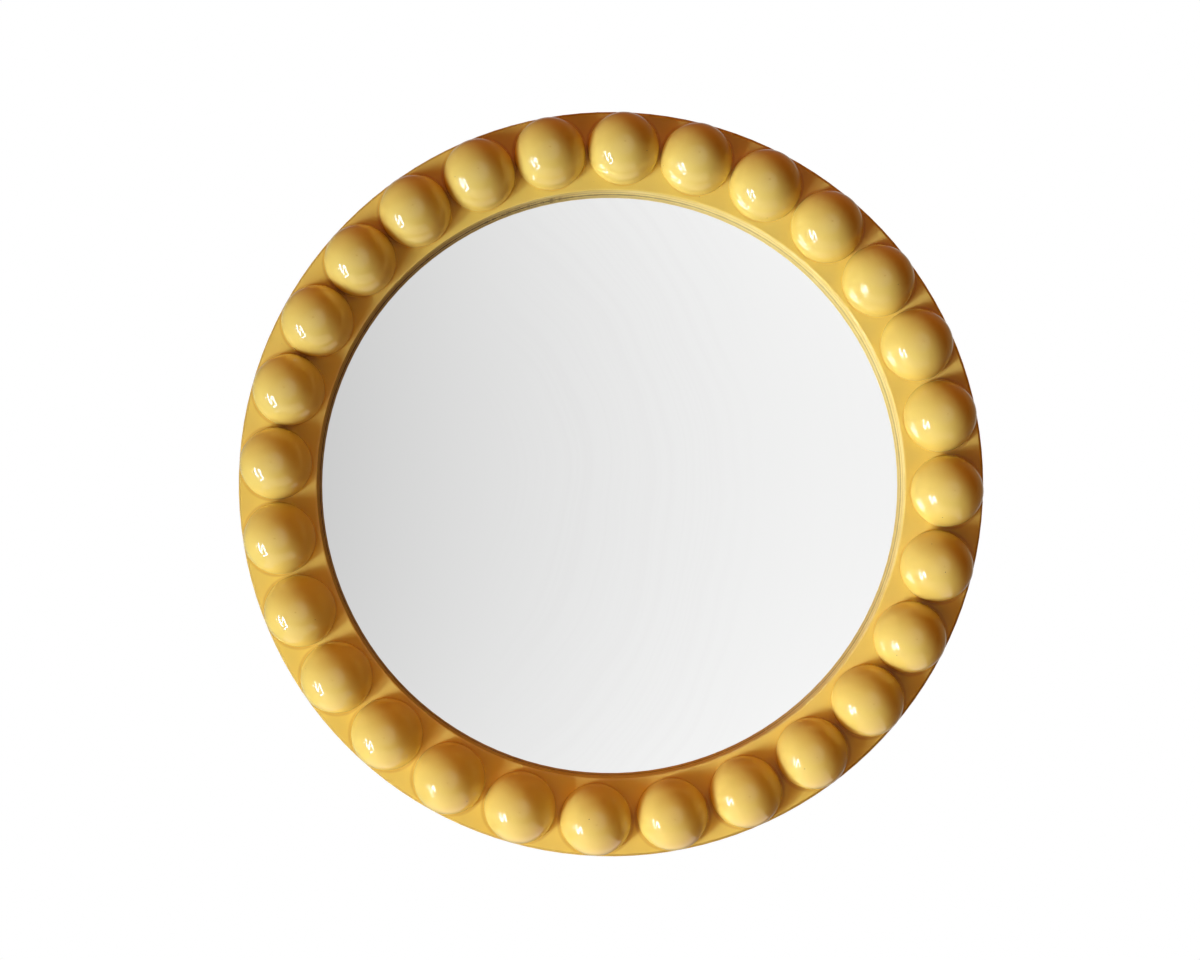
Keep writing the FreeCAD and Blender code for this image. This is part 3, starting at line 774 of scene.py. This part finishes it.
# The window leans round the key's direction. Wide runs away from the middle of the picture and tall
# runs along the ring.
LEAN = Matrix.Rotation(math.radians(-20), 3, KEY_DIRECTION)
along_ring = FACING.cross(KEY_DIRECTION).normalized()
KEY_WIDE = LEAN @ along_ring.cross(KEY_DIRECTION).normalized()
KEY_TALL = LEAN @ along_ring

# Each part of the window: place along wide and tall, width and height, all as shares of the distance,
# then its tilt in degrees and its share of the level
PANES = [
    ("pane_left", 0.148, -0.080, 0.046, 0.440, 0, 1.0),
    ("pane_across", 0.012, -0.010, 0.036, 0.500, -28, 1.0),
    ("pane_right", -0.130, 0.060, 0.048, 0.500, 0, 1.0),
    ("pane_foot", 0.020, 0.335, 0.270, 0.048, 8, 0.9),
    ("lantern", 0.330, -0.125, 0.040, 0.044, 0, 0.8),
]

# Each soft lamp: place, aim, across, width and height, level, colour, and spread in degrees.
# The spill evens out the window's light and is stronger towards the right.
SOFT_LAMPS = [
    ("key_spill", KEY_DIRECTION * SPILL_DISTANCE, Vector((0.80, 0, -0.30)), KEY_WIDE,
     (1.0, 1.6), 0.72, DAYLIGHT, 18),
    ("fill_low_right", Vector((-0.90, -1.75, -1.05)), Vector((0.70, 0, -0.60)), SIDEWAYS,
     (1.3, 1.3), 0.40, WARM, 70),
    ("fill_low_left", Vector((0.90, -2.40, 0.80)), Vector((-0.45, 0, -0.38)), SIDEWAYS,
     (0.8, 0.8), 0.115, PALE_WARM, 22),
    ("soft_back", Vector((-0.90, 2.40, 0.90)), MIDDLE, SIDEWAYS, (1.5, 1.2), 5.6, WHITE, 180),
    ("soft_side", Vector((1.75, 1.80, 0.45)), MIDDLE, Vector((1, -1, 0)), (1.2, 1.2), 6.0, WHITE, 180),
]


def area_light(name, place, aim, across, size, level, colour, spread=180, glossy=False):
    """A rectangular lamp whose level is the radiance of its face."""
    data = bpy.data.lights.new(name, "AREA")
    data.color = colour
    data.shape = "RECTANGLE"
    data.size, data.size_y = size
    data.energy = level * math.pi * size[0] * size[1]
    data.spread = math.radians(spread)
    lamp = bpy.data.objects.new(name, data)
    scene.collection.objects.link(lamp)
    forward = (aim - place).normalized()
    side = (across - across.dot(forward) * forward).normalized()
    up = side.cross(forward)
    lamp.matrix_world = Matrix((
        (side.x, up.x, -forward.x, place.x),
        (side.y, up.y, -forward.y, place.y),
        (side.z, up.z, -forward.z, place.z),
        (0, 0, 0, 1),
    ))
    lamp.visible_glossy = glossy
    lamp.visible_camera = False


for name, out, down, wide, tall, tilt, share in PANES:
    spot = (KEY_DIRECTION + KEY_WIDE * out + KEY_TALL * down) * KEY_DISTANCE
    across = Matrix.Rotation(math.radians(tilt), 3, KEY_DIRECTION) @ KEY_WIDE
    area_light(name, spot, MIDDLE, across, (wide * KEY_DISTANCE, tall * KEY_DISTANCE),
               KEY_LEVEL * share, DAYLIGHT, glossy=True)
for lamp in SOFT_LAMPS:
    area_light(*lamp)


# World: white for the camera, a dim room for diffuse light, and a pale card in front for reflections

SHADE = (1.0, 0.30, 0.02)
ROOM_BEHIND = (1.0, 0.98, 0.95)
CARD_SIDE = (1.0, 0.74, 0.44)

# Each span is between two parts of a direction along X, Y or Z, and the levels are those at its ends.
# The room that lights: how it grows overhead and fades to the right, ahead and behind
OVERHEAD_SPAN = (0.35, 0.95)
OVERHEAD_LEVELS = (0.22, 0.80)
RIGHTWARD_SPAN = (-0.3, 0.9)
RIGHTWARD_LEVELS = (1.08, 0.78)
AHEAD_SPAN = (0.50, 0.85)
BEHIND_SPAN = (0.15, 0.6)
BEHIND_LEVEL = 0.45

# The room that is reflected: the card's edge, the walls to both sides, and the wall behind
CARD_SPAN = (0.74, 0.93)
SIDE_LEVELS = (0.12, 0.03)
BACK_SIDE_START = (0.0, 0.3)
BACK_SIDE_SPAN = (-0.2, 0.5)
BACK_SIDE_LEVELS = (0.06, 0.14)
BACK_WALL_SPAN = (0.6, 0.9)
BACK_WALL_LEVEL = 0.45
WHITE_BEHIND_SPAN = (0.3, 0.8)

# The card bends in tone across and upwards, within the span that the glass reflects to the camera
LEAST_FORWARD = 0.2
CARD_LEVEL = 0.845
CARD_ACROSS = (-0.17, 0.26)
CARD_ACROSS_TILT = 1.11
CARD_ACROSS_BEND = -2.17
CARD_UPWARD = (-0.14, 0.20)
CARD_UPWARD_TILT = -0.27
CARD_UPWARD_BEND = 1.92
CARD_TWIST = 0.34

# How much light the room adds where the mirror glass passes it on to the lacquer
MIRROR_BOUNCE = 1.4


def card_level(made, x, y, z):
    """The level of the card in a direction, from the slopes across and upwards."""
    forward = made.most(made.product(y, -1.0), LEAST_FORWARD)
    s = made.hold(made.math("DIVIDE", x, forward), *CARD_ACROSS)
    t = made.hold(made.math("DIVIDE", z, forward), *CARD_UPWARD)
    across = made.math("MULTIPLY_ADD", s, CARD_ACROSS_BEND, CARD_ACROSS_TILT)
    across = made.math("MULTIPLY_ADD", t, CARD_TWIST, across)
    upward = made.math("MULTIPLY_ADD", t, CARD_UPWARD_BEND, CARD_UPWARD_TILT)
    level = made.math("MULTIPLY_ADD", s, across, CARD_LEVEL)
    return made.math("MULTIPLY_ADD", t, upward, level)


def reflected_room(made, x, y, z):
    """The background of reflections: the card in front, dim walls beside it, and a paler wall behind."""
    in_front = made.ramp_between(made.product(y, -1.0), *CARD_SPAN)
    back_side = made.ramp_between(x, *BACK_SIDE_SPAN, *BACK_SIDE_LEVELS)
    sides = made.most(
        made.ramp_between(x, -1.0, 1.0, *SIDE_LEVELS, smooth=False),
        made.product(made.ramp_between(y, *BACK_SIDE_START), back_side),
        made.ramp_between(y, *BACK_WALL_SPAN, 0.0, BACK_WALL_LEVEL),
    )
    card = made.product(card_level(made, x, y, z), in_front)
    sides = made.product(sides, made.math("SUBTRACT", 1.0, in_front))
    background = made.add("ShaderNodeBackground")
    plain = made.most(in_front, made.ramp_between(y, *WHITE_BEHIND_SPAN))
    made.link(made.mix(plain, CARD_SIDE, WHITE), background.inputs["Color"])
    made.feed(background.inputs["Strength"], made.math("ADD", card, sides))
    return background.outputs[0]


def lighting_room(made, x, y, z, bounced):
    """The background of diffuse light: warm in front, brighter overhead, and dark straight ahead."""
    behind = made.ramp_between(y, *BEHIND_SPAN)
    overhead = made.ramp_between(z, *OVERHEAD_SPAN, *OVERHEAD_LEVELS)
    overhead = made.product(overhead, made.ramp_between(x, *RIGHTWARD_SPAN, *RIGHTWARD_LEVELS))
    aside = made.ramp_between(made.product(y, -1.0), *AHEAD_SPAN, 1.0, 0.0)
    aside = made.product(aside, made.ramp_between(behind, 0.0, 1.0, 1.0, BEHIND_LEVEL))
    background = made.add("ShaderNodeBackground")
    made.link(made.mix(behind, SHADE, ROOM_BEHIND), background.inputs["Color"])
    gain = made.math("MULTIPLY_ADD", bounced, MIRROR_BOUNCE, 1.0)
    made.feed(background.inputs["Strength"], made.product(overhead, aside, gain))
    return background.outputs[0]


def build_world():
    """Chooses between the rooms and plain white by the kind of ray."""
    world = bpy.data.worlds.new("room")
    scene.world = world
    world.use_nodes = True
    made = Nodes(world.node_tree)
    x, y, z = made.split(made.add("ShaderNodeTexCoord").outputs["Generated"])
    camera_ray, shiny, direct = made.ray_kinds()
    lighting = lighting_room(made, x, y, z, made.math("SUBTRACT", shiny, direct))
    white = made.add("ShaderNodeBackground")
    white.inputs["Color"].default_value = (*WHITE, 1.0)
    chosen = lighting
    for ray, room in ((direct, reflected_room(made, x, y, z)), (camera_ray, white.outputs[0])):
        choice = made.add("ShaderNodeMixShader")
        for socket, source in zip(choice.inputs, (ray, chosen, room)):
            made.link(source, socket)
        chosen = choice.outputs[0]
    output = made.add("ShaderNodeOutputWorld")
    made.link(chosen, output.inputs["Surface"])


build_world()


# Floor, far enough below for the mirror to hang at eye level

FLOOR_REACH = 1.3
FLOOR_HEIGHT = -1.6
FLOOR_STEPS = 24
FLOOR_GLOW = 0.72
FLOOR_PALE = (0.88, 0.88, 0.87)
FLOOR_TONE = (0.86, 0.86, 0.85)


def floor_material():
    """Pale and matt, and lifted towards white for the camera and in reflections."""
    material, made, inputs = new_material("floor")
    made.feed(inputs["Base Color"], made.mix(made.noise(made.place(), 2.0), FLOOR_TONE, FLOOR_PALE))
    inputs["Roughness"].default_value = 0.9
    inputs["Emission Color"].default_value = (*WHITE, 1.0)
    camera_ray, _, direct = made.ray_kinds()
    made.feed(inputs["Emission Strength"], made.product(made.most(camera_ray, direct), FLOOR_GLOW))
    return material


def build_floor():
    row = FLOOR_STEPS + 1
    spots = [FLOOR_REACH * (2 * step / FLOOR_STEPS - 1) for step in range(row)]
    points = [(x, y, FLOOR_HEIGHT) for y in spots for x in spots]
    corners = [j * row + i for j in range(FLOOR_STEPS) for i in range(FLOOR_STEPS)]
    faces = [(corner, corner + 1, corner + row + 1, corner + row) for corner in corners]
    mesh = bpy.data.meshes.new("floor")
    mesh.from_pydata(points, [], faces)
    floor = bpy.data.objects.new("floor", mesh)
    scene.collection.objects.link(floor)
    dress([floor], floor_material())


build_floor()

scene.view_settings.view_transform = "Standard"
